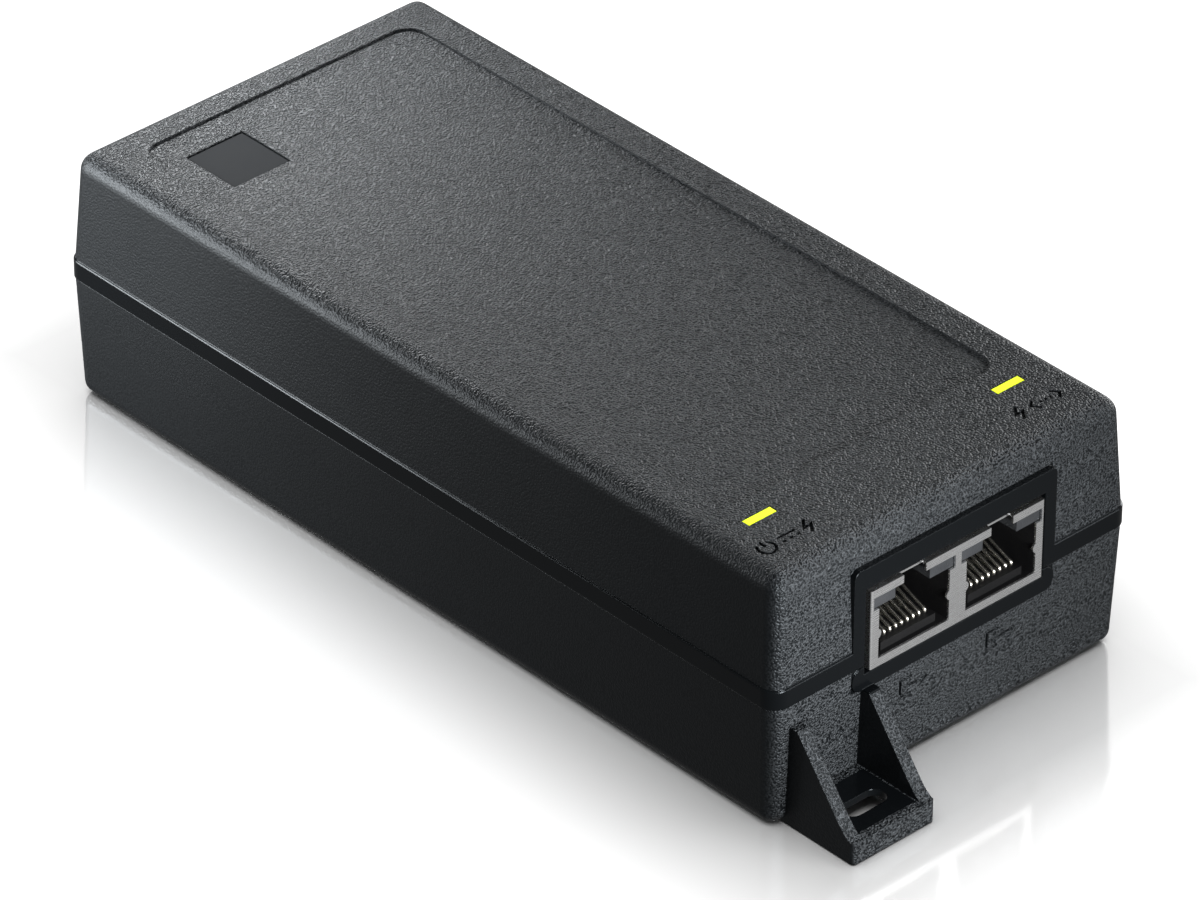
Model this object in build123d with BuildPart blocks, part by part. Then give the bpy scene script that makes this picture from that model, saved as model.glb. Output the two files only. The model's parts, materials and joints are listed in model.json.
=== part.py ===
from build123d import *
import os
from math import cos, radians, sin, tan

# A desktop Power-over-Ethernet injector: a two-part moulded case with a mains inlet at the
# back, a shielded double network jack at the front and a flyback power supply inside.
# Frame: X across, Y along the length (network ports face -Y), Z up, origin at the middle
# of the underside. All lengths are in millimetres.

os.makedirs("parts", exist_ok=True)

# ---- how a block sits on its place: on it, under it, or with one face against it ----
STANDING = (Align.CENTER, Align.CENTER, Align.MIN)
HANGING = (Align.CENTER, Align.CENTER, Align.MAX)
BEHIND = (Align.CENTER, Align.MIN, Align.MIN)
IN_FRONT = (Align.CENTER, Align.MAX, Align.CENTER)

# ---- driving dimensions of the case ----
width = 62.7  # across the waist band
length = 135.2  # between the front and rear of the waist band
height = 37.4
parting_z = 18.4  # underside of the waist band
band_height = 2.8
parting_gap = 0.2  # shadow line under the band
cover_step = 0.25  # band stands proud of the cover
case_step = 0.2  # band stands proud of the case
cover_draft = 3.15
case_draft = 2.0
corner_radius = 2.1
cover_top_radius = 2.6
case_bottom_radius = 1.8
wall = 2.0
floor_thickness = 2.2
roof_thickness = 2.4
tongue = 0.9
tongue_height = 1.4
fit_gap = 0.1

half_width = width / 2
half_length = length / 2
band_top = parting_z + band_height
case_top = parting_z - parting_gap
roof_z = height - roof_thickness

# ---- top face details ----
panel_size = (47.5, 112.0)
panel_y = 5.0
panel_radius = 3.0
panel_depth = 0.3
badge_side = 9.8
badge_depth = 0.8
badge_at = (-15.2, 51.1)
badge_gap = 0.1
light_size = (4.8, 1.4)
pipe_clearance = 1.1  # the foot of each light pipe stands this far above the board
light_at = {"power": (-21.9, -54.8), "poe": (21.4, -54.8)}
mark_depth = 0.4
stroke = 0.44
glyph = 2.9  # height of the symbols
power_marks_x = (-26.0, -22.2, -18.9)
poe_marks_x = (18.0, 22.6)
top_marks_y = -60.3
port_marks_z = 11.2

# ---- network jack ----
port_pitch = 15.24
port_x = port_pitch / 2
contact_pitch = 1.016
frame_half_width = 17.7
frame_low = 14.7
frame_high = 33.1
frame_low_radius = 1.6
frame_high_radius = 1.0
window_half_width = 15.7
window_low = 17.1
window_high = 29.95
shield_front = -68.03
shield_back = -51.7
shield_half_width = 15.15
shield_low = 17.65
shield_high = 29.5
sheet = 0.3
socket_width = 12.3
socket_low = 18.85
socket_high = 26.4
socket_depth = 12.5
jack_light_size = (4.1, 5.0, 1.9)
jack_light_offset = 5.05
jack_light_gap = 0.02  # all round each window
latch_width = 3.9
shoulder = (6.0, 2.2)  # room for the shoulder under the latch of a plug
ground_tab_z = 22.6
ground_tab_radius = 0.8
comb_height = 1.2  # step that the contacts lie on

# ---- boards ----
board_thickness = 1.6
power_board_z = 6.0
power_board_top = power_board_z + board_thickness
port_board_z = 15.7
port_board_top = port_board_z + board_thickness
board_half_width = 28.0
port_board_ends = (-65.0, -38.0)
power_board_end = 55.0

# ---- posts and screws ----
post_x = 24.5
post_y = 59.5
post_radius = 3.5
screw_radius = 1.5
head_radius = 2.8
head_height = 2.4
cross_slot = (3.2, 0.7, 1.6)
case_head_z = 5.5
case_screw_length = 18.0
board_screw_length = 5.0
board_post_radius = 3.0
board_post_y = (-34.0, 33.0)
post_overlap = 0.8  # how far the cover posts reach into the bottom case
hole_gap = 0.02  # between a thread and its hole
post_drop = 0.7  # the case posts stop this far under the parting line, for the cover posts
port_post_y = -42.0
case_posts = [(x, y) for x in (-post_x, post_x) for y in (-post_y, post_y)]
power_posts = [(x, y) for x in (-post_x, post_x) for y in board_post_y]
port_posts = [(x, port_post_y) for x in (-post_x, post_x)]

# ---- mounting ears ----
ear_left = -28.2
ear_right = -14.0
ear_tip = 79.0
ear_floor = 3.2
ear_web = 1.0
gusset = 1.9
gusset_top = 14.9
gusset_shelf = 68.7
ear_root = 66.0  # inside the end wall of the case
ear_pocket = 8.2  # length of the hollow under the floor
ear_pocket_y = -73.2
ear_corner_radius = 0.6
slot_length = 7.0
slot_width = 3.0
slot_at = ((ear_left + ear_right) / 2, -73.5)

# ---- underside label ----
label_recess = (42.0, 62.0, 0.3)
label_gap = 0.2
label_thickness = 0.2
label_radius = 2.0

# ---- mains inlet ----
inlet_z = 18.7
inlet_size = (27.2, 19.8)
inlet_recess = (24.2, 16.6)
inlet_back = 44.0
inlet_recess_depth = 16.5
blade = (2.0, 15.0, 4.0)
blade_pitch = 14.0
earth_rise = 4.0
inlet_flange = (30.6, 2.0, 23.0)
inlet_top_chamfer = 4.6
inlet_bottom_radius = 1.4
inlet_gap = 0.2


def finish(shape, name, colour):
    shape.label = name
    shape.color = Color(colour)
    export_step(shape, f"parts/{name}.step")


def upright_edges(edges):
    """The edges that run up the corners of a drafted block."""
    return edges.filter_by(lambda edge: abs((edge @ 1 - edge @ 0).Z) > 4.0)


def drafted_block(plane, rise, half_x, half_y, draft):
    """A rectangular block standing on a plane, with its sides leaning in by the draft angle."""
    with BuildPart() as block:
        with BuildSketch(plane):
            Rectangle(2 * half_x, 2 * half_y)
        extrude(amount=rise, taper=draft)
    return block.part


# ---- marks cut into the case: plain symbols drawn with a thin stroke ----


def stroke_line(*points):
    with BuildLine() as path:
        Polyline(*points)
    return path.line


def stroked(paths):
    """Thickens open paths into a flat shape of even stroke."""
    with BuildSketch() as mark:
        for path in paths:
            trace(path, stroke)
    return mark.sketch


def power_symbol():
    """A ring, open at the top, with an upright bar through the gap."""
    radius = glyph / 2 - stroke / 2
    with BuildLine() as ring:
        CenterArc((0, -0.1), radius, 125, 290)
    return stroked([ring.line, stroke_line((0, 0.1), (0, glyph / 2))])


def direct_current_symbol():
    """A long line over three short ones."""
    bars = [stroke_line((-1.5, 0.5), (1.5, 0.5))]
    bars += [stroke_line((x - 0.3, -0.5), (x + 0.3, -0.5)) for x in (-1.2, 0, 1.2)]
    return stroked(bars)


def bolt_symbol():
    return stroked([stroke_line((0.5, 1.4), (-0.7, -0.1), (0.6, 0.1), (-0.5, -1.4))])


def link_symbol():
    """Two chevrons around three dots, for a network link."""
    arrows = [stroke_line((s * 1.6, 1.0), (s * 2.5, 0), (s * 1.6, -1.0)) for s in (-1, 1)]
    dots = [stroke_line((x - 0.2, 0), (x + 0.2, 0)) for x in (-0.8, 0, 0.8)]
    return stroked(arrows + dots)


def box_arrow_symbol(tail, head, open_side):
    """A box open on one side, with an arrow from tail to head along its middle."""
    wall_x = -open_side * 1.2
    box = stroke_line(
        (open_side * 0.8, 1.3), (wall_x, 1.3), (wall_x, -1.3), (open_side * 0.8, -1.3)
    )
    back = 0.8 if head < tail else -0.8
    barbs = stroke_line((head + back, 0.8), (head, 0), (head + back, -0.8))
    return stroked([box, stroke_line((tail, 0), (head, 0)), barbs])


def mounting_ear():
    """A screw-down ear: a floor with a slot between two gussets, hollowed from below."""
    ear_width = ear_right - ear_left
    slope_end = (-76.4, 4.9)
    lip_start = (-78.3, ear_floor)
    with BuildPart() as ear:
        with BuildSketch(Plane.YZ.offset(ear_left)):
            with BuildLine():
                back_top = (-ear_root, gusset_top)
                slope = Polyline((-ear_root, 0), back_top, (-gusset_shelf, gusset_top), slope_end)
                TangentArc(slope_end, lip_start, tangent=slope % 1)
                Polyline(lip_start, (-ear_tip, ear_floor), (-ear_tip, 0), (-ear_root, 0))
            make_face()
        extrude(amount=ear_width)
        between = ear_width - 2 * gusset
        with Locations((slot_at[0], -(ear_root + ear_tip) / 2, ear_floor)):
            Box(between, ear_tip - ear_root + 0.2, gusset_top, align=STANDING, mode=Mode.SUBTRACT)
        with Locations((slot_at[0], ear_pocket_y, 0)):
            Box(between, ear_pocket, ear_floor - ear_web, align=STANDING, mode=Mode.SUBTRACT)
        with BuildSketch(Plane.XY):
            with Locations(slot_at):
                SlotOverall(slot_length, slot_width)
        extrude(amount=ear_floor, mode=Mode.SUBTRACT)
        front_corners = ear.edges().filter_by(Axis.Z).group_by(Axis.Y)[0]
        fillet(front_corners, radius=ear_corner_radius)
    return ear.part


ear = mounting_ear()
front_face_plane = Plane.XZ.offset(half_length - case_step)
downward = Plane(origin=(0, 0, case_top), x_dir=(1, 0, 0), z_dir=(0, 0, -1))

# ---- bottom case ----
with BuildPart() as bottom_case:
    with BuildSketch(downward):
        Rectangle(width - 2 * case_step, length - 2 * case_step)
    extrude(amount=case_top, taper=case_draft)
    fillet(upright_edges(bottom_case.edges()), radius=corner_radius)
    fillet(bottom_case.faces().sort_by(Axis.Z)[0].edges(), radius=case_bottom_radius)
    add(ear)
    add(ear.rotate(Axis.Z, 180))
    # smooth raised surround of the network jack, level with the waist band
    with BuildSketch(Plane.XZ.offset(half_length)) as surround:
        with Locations((0, (frame_low + case_top) / 2)):
            Rectangle(2 * frame_half_width, case_top - frame_low)
        fillet(surround.vertices().group_by(Axis.Z)[0], radius=frame_low_radius)
    extrude(amount=-wall)
    # hollow inside
    case_cavity = drafted_block(
        downward,
        case_top - floor_thickness,
        half_width - case_step - wall,
        half_length - case_step - wall,
        case_draft,
    )
    add(case_cavity, mode=Mode.SUBTRACT)
    # tongue that centres the cover
    with BuildSketch(Plane.XY.offset(case_top)):
        tongue_x = 2 * (half_width - case_step - wall + tongue)
        tongue_y = 2 * (half_length - case_step - wall + tongue)
        Rectangle(tongue_x, tongue_y)
        Rectangle(tongue_x - 2 * tongue, tongue_y - 2 * tongue, mode=Mode.SUBTRACT)
    extrude(amount=parting_gap + tongue_height)
    # posts for the case screws and for both boards
    with Locations(*[(x, y, floor_thickness) for x, y in case_posts]):
        Cylinder(post_radius, case_top - post_drop - floor_thickness, align=STANDING)
    with Locations(*[(x, y, floor_thickness) for x, y in power_posts]):
        Cylinder(board_post_radius, power_board_z - floor_thickness, align=STANDING)
    with Locations(*[(x, y, floor_thickness) for x, y in port_posts]):
        Cylinder(board_post_radius, port_board_z - floor_thickness, align=STANDING)
    with Locations(*[(x, y, 0) for x, y in case_posts]):
        Cylinder(head_radius + 0.4, case_head_z, align=STANDING, mode=Mode.SUBTRACT)
        Cylinder(screw_radius + 0.2, parting_z, align=STANDING, mode=Mode.SUBTRACT)
    board_hole_depth = board_screw_length - board_thickness + 0.2
    with Locations(
        *[(x, y, power_board_z - board_hole_depth) for x, y in power_posts],
        *[(x, y, port_board_z - board_hole_depth) for x, y in port_posts],
    ):
        Cylinder(screw_radius + hole_gap, board_hole_depth, align=STANDING, mode=Mode.SUBTRACT)
    # openings for the jack and the mains inlet, cut down from the parting line
    with Locations((0, -half_length, window_low)):
        Box(2 * window_half_width, 4 * wall, height, align=STANDING, mode=Mode.SUBTRACT)
    inlet_low = inlet_z - inlet_size[1] / 2 - inlet_gap
    with Locations((0, half_length, inlet_low)):
        Box(inlet_size[0] + 2 * inlet_gap, 4 * wall, height, align=STANDING, mode=Mode.SUBTRACT)
    # out and in symbols under the two sockets, and the recess for the rating label
    with BuildSketch(front_face_plane):
        with Locations((-port_x, port_marks_z)):
            add(box_arrow_symbol(-0.4, 3.4, 1))
        with Locations((port_x, port_marks_z)):
            add(box_arrow_symbol(3.4, -0.3, 1))
    face_leans_in = (parting_z - port_marks_z) * tan(radians(case_draft))
    extrude(amount=-(mark_depth + face_leans_in), mode=Mode.SUBTRACT)
    with BuildSketch(Plane.XY):
        RectangleRounded(label_recess[0], label_recess[1], label_radius)
    extrude(amount=label_recess[2], mode=Mode.SUBTRACT)
finish(bottom_case.part, "bottom_case", 0x26282A)

# ---- top cover ----
power_marks = (power_symbol(), direct_current_symbol(), bolt_symbol())
poe_marks = (bolt_symbol(), link_symbol())
top_marks = [*zip(power_marks_x, power_marks), *zip(poe_marks_x, poe_marks)]
with BuildPart() as top_cover:
    with BuildSketch(Plane.XY.offset(band_top)):
        Rectangle(width - 2 * cover_step, length - 2 * cover_step)
    extrude(amount=height - band_top, taper=cover_draft)
    fillet(upright_edges(top_cover.edges()), radius=corner_radius)
    fillet(top_cover.faces().sort_by(Axis.Z)[-1].edges(), radius=cover_top_radius)
    # waist band
    with BuildPart(mode=Mode.PRIVATE) as band:
        with BuildSketch(Plane.XY.offset(parting_z)):
            RectangleRounded(width, length, corner_radius + cover_step)
        extrude(amount=band_height)
        fillet(band.faces().sort_by(Axis.Z)[-1].edges(), radius=cover_step)
    add(band.part)
    # smooth raised surround of the network jack, level with the band
    with BuildSketch(Plane.XZ.offset(half_length)) as cover_surround:
        with Locations((0, (frame_high + parting_z) / 2)):
            Rectangle(2 * frame_half_width, frame_high - parting_z)
        fillet(cover_surround.vertices().group_by(Axis.Z)[-1], radius=frame_high_radius)
    extrude(amount=-wall - 1.0)
    # hollow inside
    cover_cavity = drafted_block(
        Plane.XY.offset(parting_z),
        roof_z - parting_z,
        half_width - cover_step - wall,
        half_length - cover_step - wall,
        cover_draft,
    )
    add(cover_cavity, mode=Mode.SUBTRACT)
    # groove for the tongue of the bottom case
    with BuildSketch(Plane.XY.offset(parting_z)):
        Rectangle(
            2 * (half_width - case_step - wall + tongue + fit_gap),
            2 * (half_length - case_step - wall + tongue + fit_gap),
        )
    extrude(amount=tongue_height + fit_gap, mode=Mode.SUBTRACT)
    # posts that take the case screws
    with Locations(*[(x, y, parting_z - post_overlap) for x, y in case_posts]):
        Cylinder(post_radius - 0.3, roof_z + post_overlap - parting_z, align=STANDING)
        Cylinder(
            screw_radius + hole_gap,
            case_head_z + case_screw_length + 1.0 - (parting_z - post_overlap),
            align=STANDING,
            mode=Mode.SUBTRACT,
        )
    # openings for the jack and the mains inlet, cut up from the parting line
    with Locations((0, -half_length, window_high)):
        Box(2 * window_half_width, 4 * wall, height, align=HANGING, mode=Mode.SUBTRACT)
    with Locations((0, half_length, inlet_z + inlet_size[1] / 2 + inlet_gap)):
        Box(inlet_size[0] + 2 * inlet_gap, 4 * wall, height, align=HANGING, mode=Mode.SUBTRACT)
    # shallow panel on top, with a deeper square pocket for the badge
    with BuildSketch(Plane.XY.offset(height)):
        with Locations((0, panel_y)):
            RectangleRounded(*panel_size, panel_radius)
    extrude(amount=-panel_depth, mode=Mode.SUBTRACT)
    with BuildSketch(Plane.XY.offset(height)):
        with Locations(badge_at):
            Rectangle(badge_side, badge_side)
    extrude(amount=-(panel_depth + badge_depth), mode=Mode.SUBTRACT)
    # slots for the light pipes
    with BuildSketch(Plane.XY.offset(height)):
        with Locations(*light_at.values()):
            Rectangle(light_size[0] + 0.1, light_size[1] + 0.1)
    extrude(amount=-roof_thickness, mode=Mode.SUBTRACT)
    # symbols beside the lights
    with BuildSketch(Plane.XY.offset(height)):
        for x, mark in top_marks:
            with Locations((x, top_marks_y)):
                add(mark)
    extrude(amount=-mark_depth, mode=Mode.SUBTRACT)
finish(top_cover.part, "top_cover", 0x26282A)

# ---- badge plate ----
with BuildPart() as badge_plate:
    with BuildSketch(Plane.XY.offset(height - panel_depth - badge_depth)):
        with Locations(badge_at):
            RectangleRounded(badge_side - 2 * badge_gap, badge_side - 2 * badge_gap, 0.3)
    extrude(amount=badge_depth - 0.15)
    fillet(badge_plate.faces().sort_by(Axis.Z)[-1].edges(), radius=0.15)
finish(badge_plate.part, "badge_plate", 0x1A1C1E)


# ---- light pipes ----
def light_pipe(x, y):
    """A clear bar from an indicator lamp up through the roof, with a stop under the roof."""
    low = port_board_top + pipe_clearance
    with BuildPart() as pipe:
        with Locations((x, y, low)):
            Box(*light_size, height - low, align=STANDING)
        with Locations((x, y, roof_z)):
            Box(light_size[0] + 1.0, light_size[1] + 0.8, 1.0, align=HANGING)
        fillet(pipe.faces().sort_by(Axis.Z)[-1].edges(), radius=0.2)
    return pipe.part


for light, place in light_at.items():
    finish(light_pipe(*place), f"{light}_light_pipe", 0xD6E83A)

# ---- network jack: shield, moulded insert, sprung contacts and blank lamp windows ----
socket_centres = (-port_x, port_x)
jack_depth = shield_back - shield_front
jack_low = port_board_top + 0.05

with BuildPart() as port_shield:
    with Locations((0, shield_front, jack_low)):
        Box(2 * shield_half_width, jack_depth, shield_high - jack_low, align=BEHIND)
    with Locations((0, shield_front + sheet, jack_low)):
        Box(
            2 * (shield_half_width - sheet),
            jack_depth - 2 * sheet,
            shield_high - sheet - jack_low,
            align=BEHIND,
            mode=Mode.SUBTRACT,
        )
    fillet(port_shield.edges().filter_by(Axis.Z).group_by(Axis.Y)[0], radius=0.25)
    # the front sheet stops short of the board
    with Locations((0, shield_front, shield_low)):
        Box(2 * shield_half_width, 2 * wall, shield_low, align=HANGING, mode=Mode.SUBTRACT)
    with BuildSketch(Plane.XZ.offset(-shield_front)):
        for centre in socket_centres:
            with Locations((centre, (socket_low + socket_high) / 2)):
                Rectangle(socket_width, socket_high - socket_low)
            with Locations((centre, socket_high + jack_light_size[2] / 2)):
                Rectangle(2 * jack_light_offset + jack_light_size[0], jack_light_size[2])
            latch_height = shield_high - sheet - socket_high
            with Locations((centre, socket_high)):
                Rectangle(latch_width, latch_height, align=(Align.CENTER, Align.MIN))
    extrude(amount=-sheet, mode=Mode.SUBTRACT)
    # sprung ground tabs halfway up both sides of each socket
    tab_places = [(c + s * socket_width / 2, s) for c in socket_centres for s in (-1, 1)]
    with Locations(*[(x + 0.35 * s, shield_front + sheet / 2, ground_tab_z) for x, s in tab_places]):
        Cylinder(ground_tab_radius, sheet, rotation=(90, 0, 0))
    # the top sheet is cut back over each latch
    with Locations(*[(c, shield_front, shield_high) for c in socket_centres]):
        Box(latch_width, 1.6, 2 * sheet, mode=Mode.SUBTRACT)
finish(port_shield.part, "port_shield", 0xD8DADC)

insert_front = shield_front + sheet + 0.1
insert_back = shield_back - sheet - 0.1
insert_half_width = shield_half_width - sheet - 0.05
insert_high = shield_high - sheet - 0.05

with BuildPart() as port_insert:
    with Locations((0, insert_front, jack_low)):
        Box(2 * insert_half_width, insert_back - insert_front, insert_high - jack_low, align=BEHIND)
    for centre in socket_centres:
        with Locations((centre, insert_front, socket_low)):
            Box(
                socket_width,
                socket_depth,
                socket_high - socket_low,
                align=BEHIND,
                mode=Mode.SUBTRACT,
            )
        with Locations((centre, insert_front, socket_high)):
            Box(shoulder[0], socket_depth - 2.0, shoulder[1], align=BEHIND, mode=Mode.SUBTRACT)
            Box(latch_width, 3.0, height, align=BEHIND, mode=Mode.SUBTRACT)
        lamp_centres = [centre + side * jack_light_offset for side in (-1, 1)]
        with Locations(*[(x, insert_front, socket_high) for x in lamp_centres]):
            Box(
                jack_light_size[0] + 2 * jack_light_gap,
                jack_light_size[1] + 0.1,
                jack_light_size[2] + 2 * jack_light_gap,
                align=BEHIND,
                mode=Mode.SUBTRACT,
            )
        # comb that the contacts lie on
        with Locations((centre, insert_front + 0.6, socket_low)):
            Box(8 * contact_pitch + 1.4, socket_depth - 0.6, comb_height, align=BEHIND)
finish(port_insert.part, "port_insert", 0x101112)

contact_radius = 0.22
contact_low = socket_low + comb_height + contact_radius + 0.01
contact_fold = 0.36
contact_tip = -66.0
contact_rise = 22.0
contact_length = 7.6  # of the sprung stretch behind the fold


def contact(x):
    """One sprung contact: along the comb, folded back at the mouth and rising to the rear."""
    fold_z = contact_low + contact_fold
    start = (insert_front + socket_depth - 0.05, contact_low)
    turn = radians(contact_rise)
    fold_end = (
        contact_tip - contact_fold * sin(turn),
        fold_z + contact_fold * cos(turn),
    )
    tip = (fold_end[0] + contact_length * cos(turn), fold_end[1] + contact_length * sin(turn))
    with BuildPart() as wire:
        with BuildLine(Plane.YZ.offset(x)):
            Line(start, (contact_tip, contact_low))
            CenterArc((contact_tip, fold_z), contact_fold, 270, -(180 - contact_rise))
            Line(fold_end, tip)
        with BuildSketch(Plane(origin=(x, *start), x_dir=(1, 0, 0), z_dir=(0, -1, 0))):
            Circle(contact_radius)
        sweep()
    return wire.part


with BuildPart() as port_contacts:
    for centre in socket_centres:
        for index in range(8):
            add(contact(centre + (index - 3.5) * contact_pitch))
finish(port_contacts.part, "port_contacts", 0xDDDAD2)

with BuildPart() as port_lamp_windows:
    for centre in socket_centres:
        for side in (-1, 1):
            lamp_x = centre + side * jack_light_offset
            with Locations((lamp_x, insert_front + jack_light_gap, socket_high + jack_light_gap)):
                Box(*jack_light_size, align=BEHIND)
finish(port_lamp_windows.part, "port_lamp_windows", 0x8A8D90)


# ---- boards ----
def board(z, low_y, high_y, holes, notches):
    with BuildPart() as plate:
        with BuildSketch(Plane.XY.offset(z)):
            with Locations((0, (low_y + high_y) / 2)):
                Rectangle(2 * board_half_width, high_y - low_y)
            with Locations(*holes):
                Circle(screw_radius + 0.1, mode=Mode.SUBTRACT)
            with Locations(*notches):
                Circle(post_radius + 0.5, mode=Mode.SUBTRACT)
        extrude(amount=board_thickness)
    return plate.part


power_board = board(power_board_z, -power_board_end, power_board_end, power_posts, port_posts)
finish(power_board, "power_board", 0x1F5B3A)
port_board = board(port_board_z, *port_board_ends, port_posts, case_posts[::2])
finish(port_board, "port_board", 0x1F5B3A)


def screw(x, y, head_z, shank, up):
    """A pan-head screw. The head sits on head_z, and the shank runs the other way from it."""
    side = 1 if up else -1
    outward = STANDING if up else HANGING
    with BuildPart() as fastener:
        with Locations((x, y, head_z - side * head_height)):
            Cylinder(head_radius, head_height, align=outward)
        fillet(fastener.faces().sort_by(Axis.Z)[0 if up else -1].edges(), radius=0.7)
        with Locations((x, y, head_z)):
            Cylinder(screw_radius, shank, align=outward)
        with Locations((x, y, head_z - side * head_height)):
            Box(*cross_slot, mode=Mode.SUBTRACT)
            Box(cross_slot[1], cross_slot[0], cross_slot[2], mode=Mode.SUBTRACT)
    return fastener.part


with BuildPart() as case_screws:
    for x, y in case_posts:
        add(screw(x, y, case_head_z, case_screw_length, True))
finish(case_screws.part, "case_screws", 0xB9BCC0)

with BuildPart() as board_screws:
    for x, y in power_posts:
        add(screw(x, y, power_board_top, board_screw_length, False))
    for x, y in port_posts:
        add(screw(x, y, port_board_top, board_screw_length, False))
finish(board_screws.part, "board_screws", 0xB9BCC0)

# ---- mains inlet: moulded socket with three blades ----
inlet_face = half_length - 0.3
recess_floor = inlet_face - inlet_recess_depth
with BuildPart() as inlet_body:
    with Locations((0, inlet_face, inlet_z)):
        Box(inlet_size[0], inlet_face - inlet_back, inlet_size[1], align=IN_FRONT)
    # flange behind the rear wall
    with Locations((0, half_length - wall - 1.6, inlet_z)):
        Box(*inlet_flange, align=IN_FRONT)
    with BuildSketch(Plane.XZ.offset(-inlet_face)) as recess:
        with Locations((0, inlet_z)):
            Rectangle(*inlet_recess)
        chamfer(recess.vertices().group_by(Axis.Z)[-1], length=inlet_top_chamfer)
        fillet(recess.vertices().group_by(Axis.Z)[0], radius=inlet_bottom_radius)
    extrude(amount=inlet_recess_depth, mode=Mode.SUBTRACT)
    fillet(inlet_body.faces().sort_by(Axis.Y)[-1].outer_wire().edges(), radius=0.4)
    # slots through the rear of the body for the blades and their tails
    low_blade_z = -earth_rise / 2
    blade_places = [(-blade_pitch / 2, low_blade_z), (0, earth_rise / 2), (blade_pitch / 2, low_blade_z)]
    with BuildSketch(Plane.XZ.offset(-recess_floor)):
        with Locations(*[(x, inlet_z + z) for x, z in blade_places]):
            Rectangle(blade[0] + 0.04, blade[2] + 0.04)
    extrude(amount=recess_floor - inlet_back, mode=Mode.SUBTRACT)
finish(inlet_body.part, "inlet_body", 0x141516)


def inlet_blade(x, z):
    """A flat blade with a rounded nose, and a tail that turns down into the power board."""
    tip_y = recess_floor + blade[1]
    tail_y = inlet_back - 1.2
    with BuildPart() as prong:
        with Locations((x, tip_y, inlet_z + z)):
            Box(blade[0], tip_y - tail_y, blade[2], align=IN_FRONT)
        chamfer(prong.faces().sort_by(Axis.Y)[-1].edges(), length=0.6)
        with Locations((x, tail_y, inlet_z + z + blade[2] / 2)):
            Box(
                blade[0],
                1.0,
                inlet_z + z + blade[2] / 2 - power_board_top - 0.02,
                align=(Align.CENTER, Align.MAX, Align.MAX),
            )
    return prong.part


with BuildPart() as inlet_blades:
    for place in blade_places:
        add(inlet_blade(*place))
finish(inlet_blades.part, "inlet_blades", 0xC8CACC)


# ---- power supply parts on the lower board ----
def block(name, at, size, colour, radius=0.0, z=power_board_top):
    """A box-shaped part standing on a board, with its upright edges rounded if asked."""
    with BuildPart() as body:
        with Locations((*at, z)):
            Box(*size, align=STANDING)
        if radius:
            fillet(body.edges().filter_by(Axis.Z), radius=radius)
            chamfer(body.faces().sort_by(Axis.Z)[-1].edges(), length=radius / 3)
    finish(body.part, name, colour)


def can(name, places, radius, rise, colour):
    """Upright electrolytic capacitors with a rolled groove near the foot."""
    with BuildPart() as cans:
        with Locations(*[(x, y, power_board_top) for x, y in places]):
            Cylinder(radius, rise, align=STANDING)
        fillet(cans.faces().filter_by(Plane.XY).edges(), radius=0.6)
        with Locations(*[(x, y, power_board_top + 2.6) for x, y in places]):
            Torus(radius + 0.3, 0.7, mode=Mode.SUBTRACT)
    finish(cans.part, name, colour)


def disc(name, places, radius, thickness, colour):
    """Radial ceramic discs standing on edge."""
    with BuildPart() as discs:
        with Locations(*[(x, y, power_board_top + radius + 0.6) for x, y in places]):
            Cylinder(radius, thickness, rotation=(90, 0, 0))
        fillet(discs.edges().filter_by(GeomType.CIRCLE), radius=thickness / 4)
    finish(discs.part, name, colour)


block("mains_fuse", (-22.5, 50.0), (4.2, 8.6, 8.2), 0x2B2B2B, 0.6)
block("x_capacitor", (-16.6, 28.5), (8.5, 15.0, 14.0), 0xC9B23C, 0.8)
disc("varistor", [(22.6, 50.0)], 4.6, 3.6, 0x2E5FA8)
disc("inrush_thermistor", [(22.6, 42.0)], 4.4, 3.6, 0x2B2D2F)
can("bulk_capacitor", [(14.5, 14.8)], 9.0, 26.0, 0x23262B)
block("bridge_rectifier", (13.0, 34.0), (14.0, 3.6, 13.5), 0x202224, 0.6)
disc("y_capacitors", [(-23.6, -5.0), (-23.6, 4.0)], 3.6, 2.8, 0x3A6FB5)

# common-mode choke: a toroid lying flat with two windings
choke_at = (-2.6, 28.0, power_board_top + 5.4)
with BuildPart() as choke_core:
    with Locations(choke_at):
        Cylinder(8.0, 7.0)
        Cylinder(4.4, 7.0, mode=Mode.SUBTRACT)
    fillet(choke_core.edges().filter_by(GeomType.CIRCLE), radius=0.8)
finish(choke_core.part, "choke_core", 0x3C4043)

turns_per_side = 9
wire_radius = 0.42
with BuildPart() as choke_windings:
    for side in (0, 180):
        for turn in range(turns_per_side):
            angle = side + (turn - (turns_per_side - 1) / 2) * 12.5
            with BuildPart(mode=Mode.PRIVATE) as loop:
                section = Plane(
                    origin=(
                        choke_at[0] + 6.2 * cos(radians(angle)),
                        choke_at[1] + 6.2 * sin(radians(angle)),
                        choke_at[2],
                    ),
                    x_dir=(cos(radians(angle)), sin(radians(angle)), 0),
                    z_dir=(-sin(radians(angle)), cos(radians(angle)), 0),
                )
                with BuildSketch(section):
                    RectangleRounded(3.6 + 4 * wire_radius + 0.1, 7.0 + 4 * wire_radius + 0.1, 0.8)
                    RectangleRounded(3.7, 7.1, 0.5, mode=Mode.SUBTRACT)
                extrude(amount=wire_radius, both=True)
            add(loop.part)
finish(choke_windings.part, "choke_windings", 0xB5622E)

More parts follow.
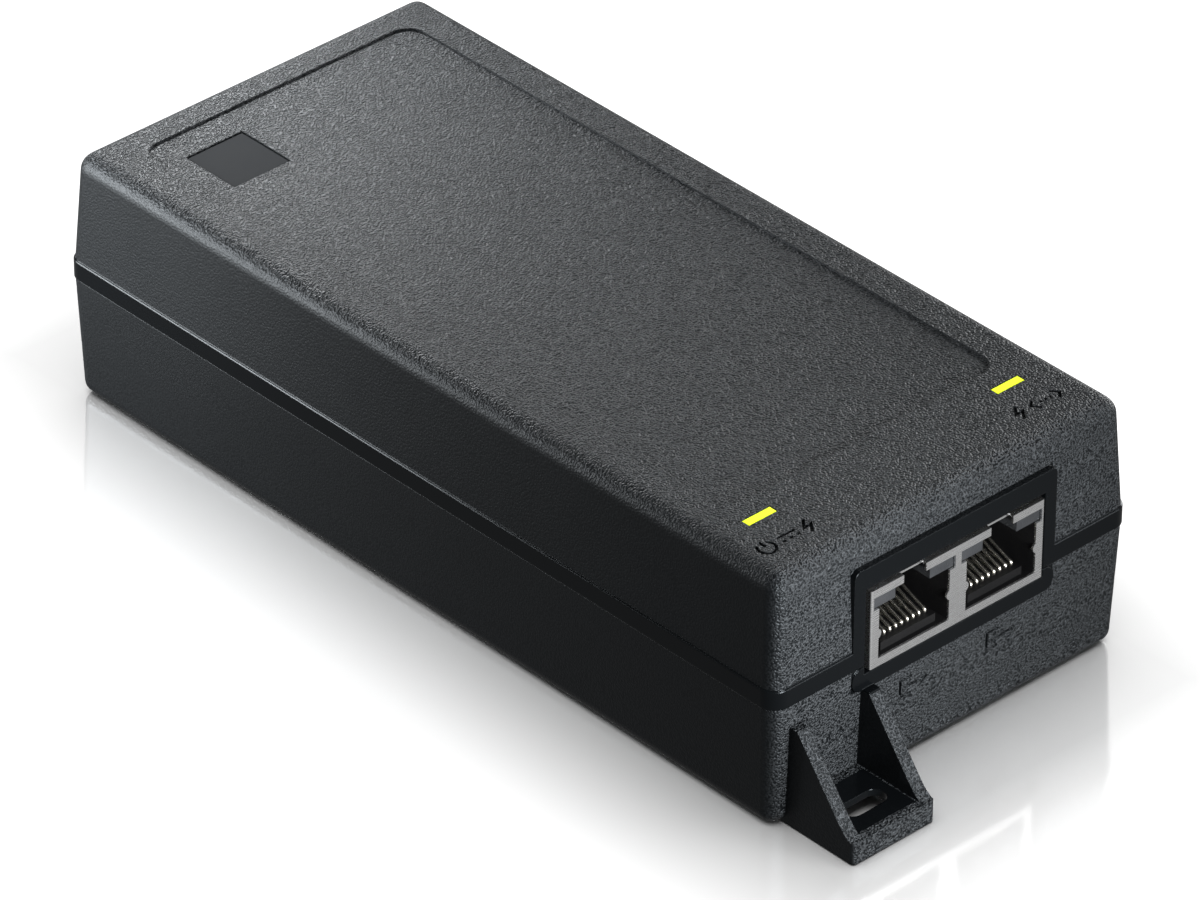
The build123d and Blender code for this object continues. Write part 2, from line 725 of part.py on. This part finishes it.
# flyback transformer
core_at = (0.0, -6.0)
core_size = (26.0, 22.0, 21.0)
core_leg = 4.0
with BuildPart() as transformer_core:
    with Locations((*core_at, power_board_top + 1.2)):
        Box(*core_size, align=STANDING)
    chamfer(transformer_core.edges().filter_by(Axis.Y), length=0.5)
    with Locations((*core_at, power_board_top + 1.2 + core_size[2] / 2)):
        window = core_size[2] - 2 * core_leg
        Box(core_size[0] - 2 * core_leg, core_size[1] + 1, window, mode=Mode.SUBTRACT)
        Cylinder(4.5, window)
finish(transformer_core.part, "transformer_core", 0x3A3B3D)

coil_radius = 8.4
coil_height = core_size[2] - 2 * core_leg - 2.0
coil_z = power_board_top + 1.2 + core_size[2] / 2
with BuildPart() as transformer_bobbin:
    with Locations((*core_at, coil_z)):
        Cylinder(5.4, coil_height + 1.8)
    with Locations(*[(*core_at, coil_z + s * (coil_height / 2 + 0.45)) for s in (-1, 1)]):
        Cylinder(coil_radius + 0.5, 0.8)
    with Locations((*core_at, coil_z)):
        Cylinder(4.6, height, mode=Mode.SUBTRACT)
finish(transformer_bobbin.part, "transformer_bobbin", 0x1C1D1E)

with BuildPart() as transformer_winding:
    with Locations((*core_at, coil_z)):
        Cylinder(coil_radius, coil_height)
        Cylinder(5.45, coil_height, mode=Mode.SUBTRACT)
finish(transformer_winding.part, "transformer_winding", 0xD8C04A)

# power transistors on upright heatsinks, either side of the transformer
heatsink_x = 20.5
heatsink_height = 23.0
fin_pitch = 5.6
leg_pitch = 2.54
transistor_hole_z = power_board_top + 17.0
mounted = {"primary_switch": (1, -6.5), "output_rectifier": (-1, -19.0)}
sink_names = {"primary_switch": "primary_heatsink", "output_rectifier": "output_heatsink"}


def heatsink(side, y):
    """An upright finned plate with its fins on the outer side."""
    with BuildPart() as sink:
        with Locations((side * heatsink_x, y, power_board_top)):
            Box(2.0, 18.0, heatsink_height, align=STANDING)
        fins_x = side * (heatsink_x + 2.2)
        with Locations(*[(fins_x, y + (fin - 1.5) * fin_pitch, power_board_top) for fin in range(4)]):
            Box(3.0, 1.2, heatsink_height, align=STANDING)
        with Locations((side * heatsink_x, y, transistor_hole_z)):
            Cylinder(screw_radius + hole_gap, 3.0, rotation=(0, 90, 0), mode=Mode.SUBTRACT)
    return sink.part


def transistor(side, y):
    """A three-leg power package: metal tab with a hole, moulded body and legs."""
    back_x = side * (heatsink_x - 1.4)
    inward = (Align.MAX if side > 0 else Align.MIN, Align.CENTER, Align.MIN)
    with BuildPart() as package:
        with Locations((back_x, y, power_board_top + 4.0)):
            Box(1.3, 10.0, 15.6, align=inward)
            Box(4.4, 10.0, 9.2, align=inward)
        with Locations((back_x - side * 1.3, y, transistor_hole_z)):
            Cylinder(screw_radius + hole_gap, 6.0, rotation=(0, 90, 0), mode=Mode.SUBTRACT)
        legs_x = back_x - side * 2.2
        with Locations(*[(legs_x, y + leg * leg_pitch, power_board_top) for leg in (-1, 0, 1)]):
            Box(0.6, 0.8, 4.2, align=STANDING)
    return package.part


def insulating_pad(side, y):
    """The thin pad between a package and its heatsink."""
    with BuildPart() as pad:
        with Locations((side * (heatsink_x - 1.2), y, power_board_top + 3.0)):
            Box(0.36, 13.0, 18.6, align=STANDING)
        with Locations((side * heatsink_x, y, transistor_hole_z)):
            Cylinder(screw_radius + 0.1, 6.0, rotation=(0, 90, 0), mode=Mode.SUBTRACT)
    return pad.part


def heatsink_screw(side, y):
    """A screw from the package side that ends flush with the back of the heatsink."""
    head_x = side * (heatsink_x - 2.7)
    outward = (Align.CENTER, Align.CENTER, Align.MIN if side > 0 else Align.MAX)
    inward = (Align.CENTER, Align.CENTER, Align.MAX if side > 0 else Align.MIN)
    with BuildPart() as fastener:
        with Locations((head_x, y, transistor_hole_z)):
            Cylinder(screw_radius, 3.7, rotation=(0, 90, 0), align=outward)
            Cylinder(head_radius - 0.2, 1.6, rotation=(0, 90, 0), align=inward)
        with Locations((head_x - side * 1.6, y, transistor_hole_z)):
            Box(1.2, 3.0, 0.7, mode=Mode.SUBTRACT)
            Box(1.2, 0.7, 3.0, mode=Mode.SUBTRACT)
    return fastener.part


for package_name, (side, y) in mounted.items():
    finish(transistor(side, y), package_name, 0x232527)
    finish(heatsink(side, y), sink_names[package_name], 0xAEB2B6)

with BuildPart() as insulating_pads:
    for side, y in mounted.values():
        add(insulating_pad(side, y))
finish(insulating_pads.part, "insulating_pads", 0x9FB4C4)

with BuildPart() as heatsink_screws:
    for side, y in mounted.values():
        add(heatsink_screw(side, y))
finish(heatsink_screws.part, "heatsink_screws", 0xB9BCC0)

can("output_capacitors", [(-7.5, -27.0), (4.0, -27.0)], 5.0, 20.0, 0x2A3550)
block("optocoupler", (-16.2, -2.0), (4.6, 6.4, 3.4), 0x1A1B1C, 0.3)
block("switching_controller", (-16.8, 11.0), (5.0, 4.0, 1.6), 0x1A1B1C, 0.2)

# drum-core output inductor
with BuildPart() as output_inductor:
    with BuildSketch(Plane.XZ.offset(27.0)):
        with BuildLine():
            Polyline(
                (17.0, power_board_top),
                (23.4, power_board_top),
                (23.4, power_board_top + 1.6),
                (22.6, power_board_top + 2.4),
                (22.6, power_board_top + 10.4),
                (23.4, power_board_top + 11.2),
                (23.4, power_board_top + 12.6),
                (17.0, power_board_top + 12.6),
                close=True,
            )
        make_face()
    revolve(axis=Axis((17.0, -27.0, 0), (0, 0, 1)))
finish(output_inductor.part, "output_inductor", 0x303234)

# ---- pins that join the two boards ----
link_pitch = 2.54
link_count = 8
link_y = -44.0
link_x = [(index - (link_count - 1) / 2) * link_pitch for index in range(link_count)]
with BuildPart() as link_headers:
    for low in (power_board_top, port_board_z - 2.5):
        with Locations((0, link_y, low)):
            Box(link_count * link_pitch, 2.5, 2.5, align=STANDING)
        with Locations(*[(x, link_y, low) for x in link_x]):
            Box(0.7, 0.7, 2.5, align=STANDING, mode=Mode.SUBTRACT)
finish(link_headers.part, "link_headers", 0x17181A)

with BuildPart() as link_pins:
    with Locations(*[(x, link_y, power_board_top + 0.01) for x in link_x]):
        Box(0.64, 0.64, port_board_z - power_board_top - 0.02, align=STANDING)
finish(link_pins.part, "link_pins", 0xDDDAD2)

# ---- parts on the port board ----
block("poe_controller", (0.0, -44.5), (7.0, 7.0, 1.0), 0x1A1B1C, 0.2, z=port_board_top)
with BuildPart() as lan_transformers:
    with Locations((-12.5, -45.0, port_board_top), (12.5, -45.0, port_board_top)):
        Box(12.4, 8.8, 6.0, align=STANDING)
    fillet(lan_transformers.faces().group_by(Axis.Z)[-1].edges(), radius=0.4)
finish(lan_transformers.part, "lan_transformers", 0x1A1B1C)

with BuildPart() as indicator_lamps:
    with Locations(*[(x, y, port_board_top) for x, y in light_at.values()]):
        Box(2.0, 1.25, 1.0, align=STANDING)
finish(indicator_lamps.part, "indicator_lamps", 0xE6E2C8)


chip_pitch = 2.6


def chip_parts(name, rows, z):
    """Rows of small surface-mount resistors and capacitors."""
    with BuildPart() as chips:
        places = [(x + chip_pitch * i, y, z) for x, y, count in rows for i in range(count)]
        with Locations(*places):
            Box(1.6, 0.8, 0.5, align=STANDING)
    finish(chips.part, name, 0x6E5B4A)


chip_parts("power_chip_parts", [(-20.0, 16.0, 4), (-20.0, -48.0, 7), (6.0, -50.0, 6)], power_board_top)
chip_parts("port_chip_parts", [(-17.0, -39.2, 5), (7.0, -39.2, 5)], port_board_top)

# ---- sheet that insulates the power board from the case, and the blank rating label ----
with BuildPart() as insulation_sheet:
    with BuildSketch(Plane.XY.offset(floor_thickness + 0.02)):
        RectangleRounded(54.0, 108.0, 2.0)
        with Locations(*power_posts, *port_posts):
            Circle(3.4, mode=Mode.SUBTRACT)
    extrude(amount=0.3)
finish(insulation_sheet.part, "insulation_sheet", 0xE4E2DA)

with BuildPart() as rating_label:
    with BuildSketch(Plane.XY.offset(label_recess[2] - label_thickness)):
        RectangleRounded(
            label_recess[0] - 2 * label_gap,
            label_recess[1] - 2 * label_gap,
            label_radius - label_gap,
        )
    extrude(amount=label_thickness)
finish(rating_label.part, "rating_label", 0xB9BBBD)
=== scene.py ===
"""Looks for the Power-over-Ethernet injector: camera, studio, materials and small surface details."""

import json
import math

import bpy
from mathutils import Matrix, Vector


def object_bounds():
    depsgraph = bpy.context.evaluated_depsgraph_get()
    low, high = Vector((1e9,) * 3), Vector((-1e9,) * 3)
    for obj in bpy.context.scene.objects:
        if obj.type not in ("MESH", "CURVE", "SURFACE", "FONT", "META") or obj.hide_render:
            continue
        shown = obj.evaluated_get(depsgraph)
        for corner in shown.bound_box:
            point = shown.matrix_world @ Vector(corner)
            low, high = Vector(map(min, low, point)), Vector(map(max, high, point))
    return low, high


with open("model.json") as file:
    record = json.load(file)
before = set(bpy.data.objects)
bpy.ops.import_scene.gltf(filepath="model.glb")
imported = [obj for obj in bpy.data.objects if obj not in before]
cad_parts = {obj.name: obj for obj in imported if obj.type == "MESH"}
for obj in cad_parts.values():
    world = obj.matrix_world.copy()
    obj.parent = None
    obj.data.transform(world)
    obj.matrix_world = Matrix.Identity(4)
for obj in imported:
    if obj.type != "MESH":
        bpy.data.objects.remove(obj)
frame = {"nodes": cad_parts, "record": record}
cad_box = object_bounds()
nodes = frame["nodes"]
MM = 0.001
FLOOR_SIDE = 6.0
FLOOR_GAP = 0.0002  # keeps the floor clear of the underside


# ---- camera: a long lens, high to the front left, with a slight roll ----

CAMERA_PLACE = Vector((-0.65263, -0.70154, 0.66033))
CAMERA_AZIMUTH = 43.031
CAMERA_DOWN = 34.178
CAMERA_ROLL = 0.384
LENS = 266.72


def make_camera():
    data = bpy.data.cameras.new("camera")
    data.lens = LENS
    data.sensor_width = 36.0
    data.clip_start = 0.05
    data.clip_end = 20.0
    camera = bpy.data.objects.new("camera", data)
    bpy.context.collection.objects.link(camera)
    aim = (
        Matrix.Rotation(math.radians(-CAMERA_AZIMUTH), 3, "Z")
        @ Matrix.Rotation(math.radians(90.0 - CAMERA_DOWN), 3, "X")
        @ Matrix.Rotation(math.radians(CAMERA_ROLL), 3, "Z")
    )
    camera.matrix_world = Matrix.Translation(CAMERA_PLACE) @ aim.to_4x4()
    bpy.context.scene.camera = camera


# ---- studio: a pale floor, a large soft backdrop and near soft lights on the object ----

WORLD_STRENGTH = 0.25
BACKDROP_POWER = 2.9
WASH_POWER = 92.0
# metallic weight of the floor at the footprint: a real reflection of the object, and painted shade that
# darkens the floor around it
POLISH_AND_SHADE = 0.57
POLISH_AND_SHADE_REACH = 42.0  # millimetres from the footprint
OBJECT_LIGHTS = (  # name, place, aim, side, power, spread
    ("rear_top", (0.055, 0.17, 0.12), (0.012, 0.075, 0.037), 0.06, 0.085, 52.0),
    ("rear_left", (-0.12, 0.13, 0.05), (-0.03, 0.055, 0.02), 0.1, 0.15, 70.0),
    ("rear_left_low", (-0.10, 0.12, 0.03), (-0.03, 0.085, 0.02), 0.08, 0.07, 50.0),
    ("front_low", (0.20, -0.30, 0.05), (0.0, -0.067, 0.02), 0.14, 0.5, 180.0),
    ("front_near", (-0.025, -0.165, 0.055), (-0.02, -0.067, 0.028), 0.05, 0.17, 90.0),
    ("right_fill", (0.5, 0.05, 0.12), (0.031, 0.0, 0.02), 0.3, 3.0, 180.0),
)


def area_light(name, place, aim, side, power, spread=180.0):
    """A square soft light. The spread is the full angle of its beam, in degrees."""
    data = bpy.data.lights.new(name, "AREA")
    data.size = side
    data.energy = power
    data.spread = math.radians(spread)
    light = bpy.data.objects.new(name, data)
    light.location = place
    light.rotation_euler = (Vector(aim) - Vector(place)).to_track_quat("-Z", "Y").to_euler()
    bpy.context.collection.objects.link(light)
    return light


def light_only(light, objects):
    """Keeps a light to some objects, as flags and screens do in a studio."""
    receivers = bpy.data.collections.new(light.name + "_receivers")
    for item in objects:
        receivers.objects.link(item)
    light.light_linking.receiver_collection = receivers


def make_floor():
    bpy.ops.mesh.primitive_plane_add(size=FLOOR_SIDE, location=(0.0, 0.0, cad_box[0].z - FLOOR_GAP))
    floor = bpy.context.object
    floor.name = "floor"
    floor.data.materials.append(floor_material())
    # the object is lit by the studio alone, not by light thrown back from the bright floor
    floor.visible_diffuse = False
    floor.visible_glossy = False
    return floor


def make_studio():
    world = bpy.data.worlds.new("studio")
    bpy.context.scene.world = world
    world.use_nodes = True
    background = world.node_tree.nodes["Background"]
    background.inputs["Color"].default_value = (1.0, 1.0, 1.0, 1.0)
    background.inputs["Strength"].default_value = WORLD_STRENGTH
    bpy.context.scene.view_settings.view_transform = "Standard"

    floor = make_floor()
    area_light("backdrop", (0.9, 0.97, 0.9), (0.0, 0.0, 0.0), 1.8, BACKDROP_POWER)
    wash = area_light("floor_wash", (0.0, 0.0, 2.0), (0.0, 0.0, 0.0), 2.4, WASH_POWER)
    light_only(wash, [floor])
    for settings in OBJECT_LIGHTS:
        light_only(area_light(*settings), nodes.values())


# ---- material helpers ----

SIDE_SMOOTHNESS = 0.92
PLASTIC_TINT = (0.84, 0.93, 1.0, 1.0)

# smooth stretches of the case, in millimetres; the ears' pockets are told by distance from the middle,
# and there the darkest base colour is painted shade from the gussets
BAND_Z = (18.35, 21.3)
SURROUND_HALF_WIDTH = 17.72
SURROUND_Y = (-80.0, -66.3)
SURROUND_Z = (14.66, 33.14)
POCKET_X = (16.1, 26.1)
POCKET_Y = (68.2, 77.6)
POCKET_Z = (-1.0, 14.8)


class Shader:
    """A node material with short ways to add and join nodes."""

    def __init__(self, name):
        self.material = bpy.data.materials.new(name)
        self.material.use_nodes = True
        self.tree = self.material.node_tree
        self.bsdf = self.tree.nodes["Principled BSDF"]

    def node(self, kind, **inputs):
        made = self.tree.nodes.new(kind)
        for key, value in inputs.items():
            made.inputs[key.replace("_", " ")].default_value = value
        return made

    def join(self, start, end):
        self.tree.links.new(start, end)
        return end

    def set(self, **inputs):
        for key, value in inputs.items():
            self.bsdf.inputs[key.replace("_", " ")].default_value = value

    def position(self):
        """Position on the object in millimetres."""
        source = self.node("ShaderNodeTexCoord").outputs["Object"]
        scale = self.node("ShaderNodeVectorMath")
        scale.operation = "SCALE"
        scale.inputs["Scale"].default_value = 1.0 / MM
        self.join(source, scale.inputs[0])
        return scale.outputs[0]

    def math(self, operation, a, b=None, clamp=False):
        made = self.tree.nodes.new("ShaderNodeMath")
        made.operation = operation
        made.use_clamp = clamp
        for index, value in enumerate((a, b)):
            if value is None:
                continue
            if isinstance(value, (int, float)):
                made.inputs[index].default_value = value
            else:
                self.join(value, made.inputs[index])
        return made.outputs[0]

    def product(self, first, *others):
        for other in others:
            first = self.math("MULTIPLY", first, other)
        return first

    def noise(self, vector, scale, detail=2.0, roughness=0.5):
        made = self.node("ShaderNodeTexNoise", Scale=scale, Detail=detail, Roughness=roughness)
        self.join(vector, made.inputs["Vector"])
        return made.outputs["Fac"]

    def ramp(self, value, low, high):
        """Maps 0..1 onto low..high, which may be numbers or colours."""
        made = self.tree.nodes.new("ShaderNodeMix")
        if isinstance(low, (int, float)):
            made.data_type = "FLOAT"
            a, b, out = made.inputs[2], made.inputs[3], made.outputs[0]
            a.default_value, b.default_value = low, high
        else:
            made.data_type = "RGBA"
            a, b, out = made.inputs[6], made.inputs[7], made.outputs[2]
            a.default_value = (*low, 1.0)
            b.default_value = (*high, 1.0)
        self.join(value, made.inputs[0])
        return out

    def bump(self, height, distance, strength=1.0, before=None):
        """A bump whose distance is in millimetres."""
        made = self.node("ShaderNodeBump", Strength=strength, Distance=distance * MM)
        self.join(height, made.inputs["Height"])
        if before is not None:
            self.join(before, made.inputs["Normal"])
        return made.outputs["Normal"]

    def facing_ends(self):
        """1 on faces that point along Y or Z, and less on the long sides, which are moulded finer."""
        split = self.node("ShaderNodeSeparateXYZ")
        self.join(self.node("ShaderNodeTexCoord").outputs["Normal"], split.inputs[0])
        sideways = self.math("ABSOLUTE", split.outputs["X"])
        return self.math("SUBTRACT", 1.0, self.math("MULTIPLY", sideways, SIDE_SMOOTHNESS))

    def inside(self, value, low, high, soft=0.05):
        """1 where value lies between low and high, 0 outside, with a soft edge."""
        above = self.math("DIVIDE", self.math("SUBTRACT", value, low), soft, clamp=True)
        below = self.math("DIVIDE", self.math("SUBTRACT", high, value), soft, clamp=True)
        return self.math("MULTIPLY", above, below)


def floor_material():
    """White, with a metallic polish that fades away from the object's footprint; it reflects the object,
    and it also darkens the floor around the footprint as painted shade.
    """
    shader = Shader("floor")
    split = shader.node("ShaderNodeSeparateXYZ")
    shader.join(shader.position(), split.inputs[0])
    low, high = (corner / MM for corner in cad_box)
    beyond = []
    for axis in (0, 1):
        out = shader.math("SUBTRACT", shader.math("ABSOLUTE", split.outputs[axis]), high[axis])
        beyond.append(shader.math("MAXIMUM", out, 0.0))
    squares = [shader.math("MULTIPLY", out, out) for out in beyond]
    distance = shader.math("SQRT", shader.math("ADD", *squares))
    # painted shade: the metallic weight falls off with distance from the footprint, so the floor is
    # darker near the object
    near = shader.math("SUBTRACT", 1.0, shader.math("DIVIDE", distance, POLISH_AND_SHADE_REACH), clamp=True)
    shader.join(shader.math("MULTIPLY", near, POLISH_AND_SHADE), shader.bsdf.inputs["Metallic"])
    shader.set(Base_Color=(0.95, 0.95, 0.95, 1.0), Roughness=0.08)
    return shader.material


def case_plastic():
    """Charcoal moulding with a spark-eroded grain.

    It is smooth on the waist band and on the jack surround. The pockets of the ears are made smooth too,
    and their dark base colour there is painted shade from the gussets.
    """
    shader = Shader("case_plastic")
    at = shader.position()
    split = shader.node("ShaderNodeSeparateXYZ")
    shader.join(at, split.inputs[0])
    x, y, z = split.outputs
    across = shader.math("ABSOLUTE", x)
    along = shader.math("ABSOLUTE", y)
    band = shader.inside(z, *BAND_Z)
    surround = shader.product(
        shader.inside(across, -1.0, SURROUND_HALF_WIDTH),
        shader.inside(z, *SURROUND_Z),
        shader.inside(y, *SURROUND_Y),
    )
    # painted shade: the ear pockets, gusset faces included, are made smooth and take the darkest base
    # colour
    smooth_shaded_pocket = shader.product(
        shader.inside(across, *POCKET_X),
        shader.inside(along, *POCKET_Y),
        shader.inside(z, *POCKET_Z),
    )
    smooth_and_pocket_shade = shader.math("MAXIMUM", shader.math("MAXIMUM", band, surround), smooth_shaded_pocket)
    grainy = shader.math("SUBTRACT", 1.0, smooth_and_pocket_shade)

    speckle = shader.noise(at, 3.6, 0.0)
    speckle = shader.math("DIVIDE", shader.math("SUBTRACT", speckle, 0.3), 0.4, clamp=True)
    height = shader.product(grainy, shader.facing_ends(), speckle)
    rounded = shader.node("ShaderNodeBevel", Radius=0.22 * MM)
    shader.join(shader.bump(height, 0.2, before=rounded.outputs["Normal"]), shader.bsdf.inputs["Normal"])

    # painted highlight and shade: the base colour follows the grain height, lighter on the grain's peaks
    # and darker in its pits; the smooth stretches and the long sides take the dark end
    base = shader.ramp(height, (0.0014, 0.0017, 0.002), (0.023, 0.025, 0.027))
    shader.join(base, shader.bsdf.inputs["Base Color"])
    cloud = shader.noise(at, 0.06, 3.0, 0.55)
    rough = shader.ramp(grainy, 0.2, 0.45)
    wear = shader.math("ADD", rough, shader.math("MULTIPLY", shader.math("SUBTRACT", cloud, 0.5), 0.08))
    shader.join(wear, shader.bsdf.inputs["Roughness"])
    shader.set(Specular_IOR_Level=0.14, Specular_Tint=PLASTIC_TINT)
    return shader.material


def badge_plastic():
    """The same plastic as the case, polished, with faint handling haze."""
    shader = Shader("badge_plastic")
    at = shader.position()
    haze = shader.noise(at, 0.25, 3.0, 0.5)
    base = shader.ramp(haze, (0.005, 0.006, 0.007), (0.008, 0.009, 0.0105))
    shader.join(base, shader.bsdf.inputs["Base Color"])
    shader.join(shader.ramp(haze, 0.64, 0.7), shader.bsdf.inputs["Roughness"])
    rounded = shader.node("ShaderNodeBevel", Radius=0.2 * MM)
    fine = shader.noise(at, 6.0, 2.0)
    shader.join(shader.bump(fine, 0.01, before=rounded.outputs["Normal"]), shader.bsdf.inputs["Normal"])
    shader.set(Specular_IOR_Level=0.04, Specular_Tint=PLASTIC_TINT)
    return shader.material


def light_pipe():
    """Clear tinted plastic that glows a little, as if its lamp were lit."""
    shader = Shader("light_pipe")
    at = shader.position()
    glow = shader.noise(at, 0.5, 2.0)
    for colour_input in ("Base Color", "Emission Color"):
        colour = shader.ramp(glow, (0.62, 0.8, 0.012), (0.78, 0.9, 0.03))
        shader.join(colour, shader.bsdf.inputs[colour_input])
    shader.set(Emission_Strength=0.35)
    shader.join(shader.ramp(glow, 0.18, 0.3), shader.bsdf.inputs["Roughness"])
    return shader.material


def metal(name, colour, low_rough, high_rough, grain=(1.0, 1.0, 1.0), dent=0.01):
    """Plated sheet or bar with faint rolling marks along one way and a patchy polish."""
    shader = Shader(name)
    at = shader.position()
    stretch = shader.node("ShaderNodeVectorMath")
    stretch.operation = "MULTIPLY"
    stretch.inputs[1].default_value = grain
    shader.join(at, stretch.inputs[0])
    streaks = shader.noise(stretch.outputs[0], 3.0, 3.0, 0.6)
    patches = shader.noise(at, 0.4, 2.0)
    darker = tuple(channel * 0.93 for channel in colour)
    shader.join(shader.ramp(patches, darker, colour), shader.bsdf.inputs["Base Color"])
    shader.join(shader.ramp(streaks, low_rough, high_rough), shader.bsdf.inputs["Roughness"])
    shader.join(shader.bump(streaks, dent), shader.bsdf.inputs["Normal"])
    shader.set(Metallic=1.0)
    return shader.material


def moulding(name, dark, light, rough, grain=0.02, scale=4.0, specular=0.5):
    """A plain moulded or coated surface with a little mottle and fine texture."""
    shader = Shader(name)
    at = shader.position()
    mottle = shader.noise(at, 0.35, 3.0)
    shader.join(shader.ramp(mottle, dark, light), shader.bsdf.inputs["Base Color"])
    shader.join(shader.ramp(mottle, rough - 0.05, rough + 0.05), shader.bsdf.inputs["Roughness"])
    shader.join(shader.bump(shader.noise(at, scale, 2.0), grain), shader.bsdf.inputs["Normal"])
    shader.set(Specular_IOR_Level=specular)
    return shader.material


def make_materials():
    made = {
        "case_plastic": case_plastic(),
        "badge_plastic": badge_plastic(),
        "light_pipe": light_pipe(),
        "shield_steel": metal("shield_steel", (0.9, 0.905, 0.91), 0.2, 0.34, (0.2, 1.0, 3.0)),
        "black_moulding": moulding(
            "black_moulding", (0.001, 0.001, 0.0012), (0.002, 0.002, 0.0022), 0.6, specular=0.12
        ),
        "contact_plating": metal("contact_plating", (0.72, 0.7, 0.64), 0.2, 0.3),
        "lamp_window": moulding(
            "lamp_window", (0.008, 0.009, 0.01), (0.022, 0.023, 0.025), 0.5, 0.08, 3.0, specular=0.1
        ),
        "circuit_board": moulding("circuit_board", (0.006, 0.05, 0.02), (0.01, 0.08, 0.035), 0.35),
        "screw_steel": metal("screw_steel", (0.6, 0.61, 0.63), 0.25, 0.4),
        "blade_metal": metal("blade_metal", (0.8, 0.79, 0.75), 0.18, 0.3, (1.0, 0.2, 1.0)),
        "yellow_case": moulding("yellow_case", (0.5, 0.33, 0.03), (0.6, 0.42, 0.05), 0.45),
        "blue_coating": moulding("blue_coating", (0.01, 0.06, 0.2), (0.02, 0.09, 0.28), 0.3),
        "capacitor_sleeve": moulding("capacitor_sleeve", (0.01, 0.012, 0.02), (0.02, 0.025, 0.04), 0.25),
        "ferrite": moulding("ferrite", (0.025, 0.025, 0.028), (0.04, 0.04, 0.043), 0.6, 0.05),
        "enamelled_wire": metal("enamelled_wire", (0.75, 0.3, 0.1), 0.2, 0.3),
        "yellow_tape": moulding("yellow_tape", (0.55, 0.4, 0.03), (0.65, 0.5, 0.05), 0.3),
        "aluminium": metal("aluminium", (0.72, 0.73, 0.74), 0.3, 0.45, (1.0, 1.0, 0.2)),
        "insulating_pad": moulding("insulating_pad", (0.2, 0.28, 0.34), (0.26, 0.34, 0.4), 0.7),
        "lamp_chip": moulding("lamp_chip", (0.6, 0.58, 0.42), (0.7, 0.68, 0.5), 0.3),
        "chip_ceramic": moulding("chip_ceramic", (0.12, 0.08, 0.05), (0.2, 0.14, 0.09), 0.5),
        "insulation_paper": moulding("insulation_paper", (0.6, 0.57, 0.48), (0.7, 0.67, 0.6), 0.8, 0.05),
        "label_film": moulding("label_film", (0.32, 0.33, 0.34), (0.36, 0.37, 0.38), 0.35, 0.005),
    }
    for part in frame["record"]["subparts"]:
        piece = nodes[part["node"]]
        piece.data.materials.clear()
        piece.data.materials.append(made[part["material_slot"]])


make_camera()
make_studio()
make_materials()
